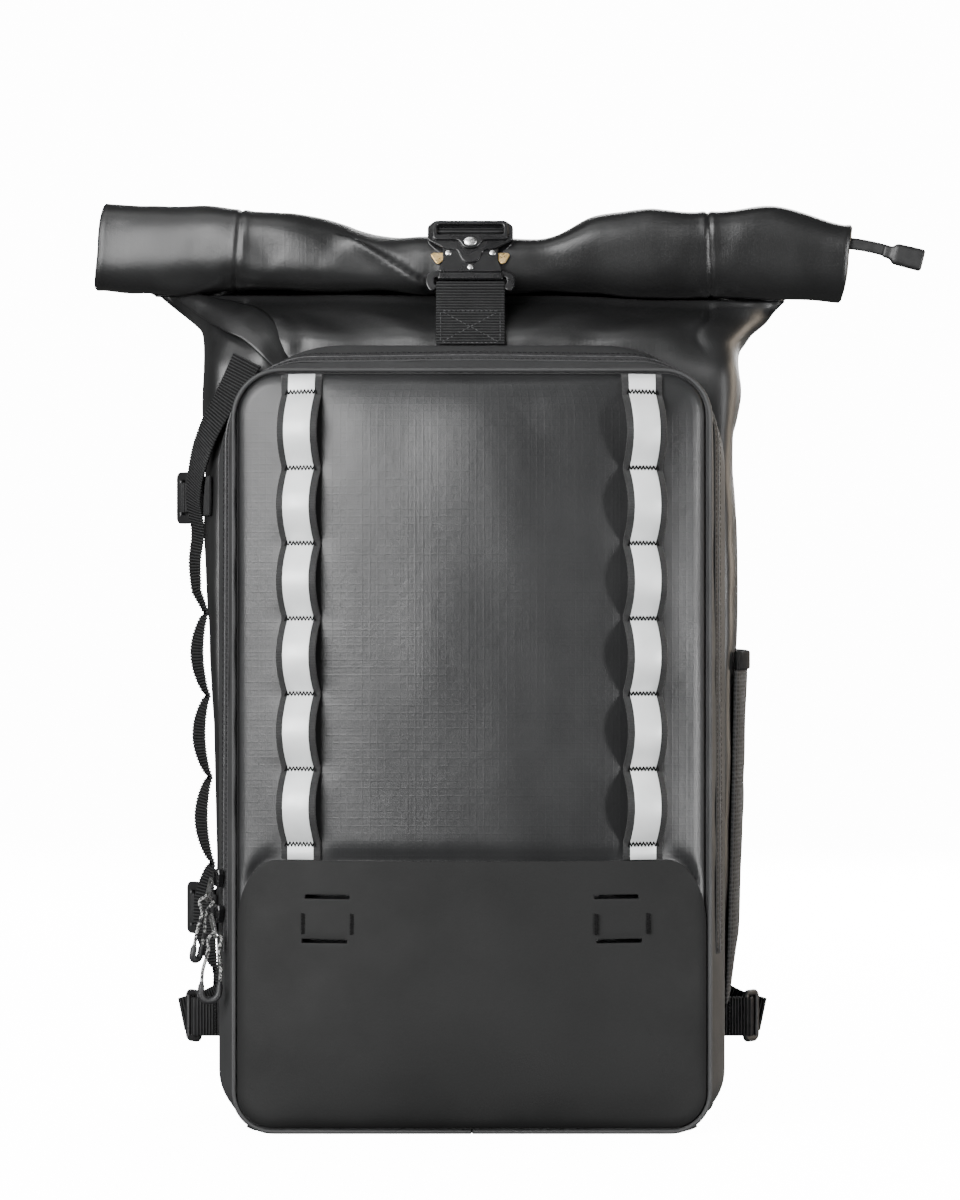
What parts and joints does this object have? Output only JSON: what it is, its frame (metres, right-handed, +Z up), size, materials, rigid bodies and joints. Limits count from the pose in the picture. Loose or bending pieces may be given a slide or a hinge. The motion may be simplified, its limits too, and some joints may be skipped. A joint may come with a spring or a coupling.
{
  "type": "backpack pannier",
  "caption": "Roll-top backpack pannier with a zipped front pocket, webbing ladders with reflective tape, a metal buckle, shoulder straps and rack hooks.",
  "frame": {"origin": "middle of the flat base, on the surface it stands on", "axes": "+Z up, -Y the front pocket's way, +X to the right seen from the front"},
  "size_m": [0.5196, 0.2585, 0.5788],
  "materials": {
    "coated_fabric": "satin coated ripstop, black",
    "rubberised_fabric": "matte rubbery coating, charcoal",
    "webbing": "ribbed black nylon",
    "reflective_tape": "light grey retroreflective",
    "zip_tape": "dark grey coil zip",
    "stretch_mesh": "fine black mesh",
    "black_plastic": "matte moulded",
    "black_metal": "semi-gloss black",
    "brass": "satin",
    "steel": "bright",
    "cord": "braided, white flecks",
    "soft_rubber": "matte",
    "padding": "padded, black"
  },
  "bodies": {
    "bag": {"front_wall": "coated_fabric", "back_wall": "coated_fabric", "side_panel_left": "coated_fabric", "side_panel_right": "coated_fabric", "base_panel": "coated_fabric", "front_panel": "coated_fabric", "lower_panel": "rubberised_fabric", "pocket_gusset": "coated_fabric", "pocket_zip": "zip_tape", "panel_piping": "rubberised_fabric", "ladder_webbing_left": "webbing", "ladder_webbing_right": "webbing", "reflective_stripe_left": "reflective_tape", "reflective_stripe_right": "reflective_tape", "roll_top": "coated_fabric", "roll_pull": "soft_rubber", "buckle_body": "black_metal", "buckle_rivet_centre": "steel", "buckle_rivet_lower": "steel", "buckle_rivet_left": "steel", "buckle_rivet_right": "steel", "buckle_frame": "black_metal", "buckle_strap_lower": "webbing", "buckle_strap_upper": "webbing", "side_webbing": "webbing", "compression_strap_upper": "webbing", "ladder_lock_upper": "black_plastic", "compression_strap_lower": "webbing", "ladder_lock_lower": "black_plastic", "anchor_tab_left": "webbing", "anchor_ring_left": "black_plastic", "anchor_tab_right": "webbing", "anchor_ring_right": "black_plastic", "mesh_pocket": "stretch_mesh", "mesh_binding": "webbing", "zip_slider_upper": "black_metal", "zip_tab_upper": "steel", "pull_cord_upper": "cord", "pull_grip_upper": "soft_rubber", "zip_slider_lower": "black_metal", "zip_tab_lower": "steel", "pull_cord_lower": "cord", "pull_grip_lower": "soft_rubber", "back_pad": "padding", "hook_rail": "black_plastic", "shoulder_strap_left": "padding", "strap_webbing_left": "webbing", "shoulder_strap_right": "padding", "strap_webbing_right": "webbing"},
    "lever_left": {"buckle_lever_left": "brass"},
    "lever_right": {"buckle_lever_right": "brass"}
  },
  "joints": [
    {"name": "lever_left_press", "type": "hinge", "parent": "bag", "child": "lever_left", "pos_m": [-0.0148, -0.03642, 0.54454], "axis": [0, -0.9659, 0.2588], "range_deg": [0, 8], "stiffness_Nm_per_rad": 0.02},
    {"name": "lever_right_press", "type": "hinge", "parent": "bag", "child": "lever_right", "pos_m": [0.0128, -0.03642, 0.54454], "axis": [0, 0.9659, -0.2588], "range_deg": [0, 8], "stiffness_Nm_per_rad": 0.02}
  ]
}
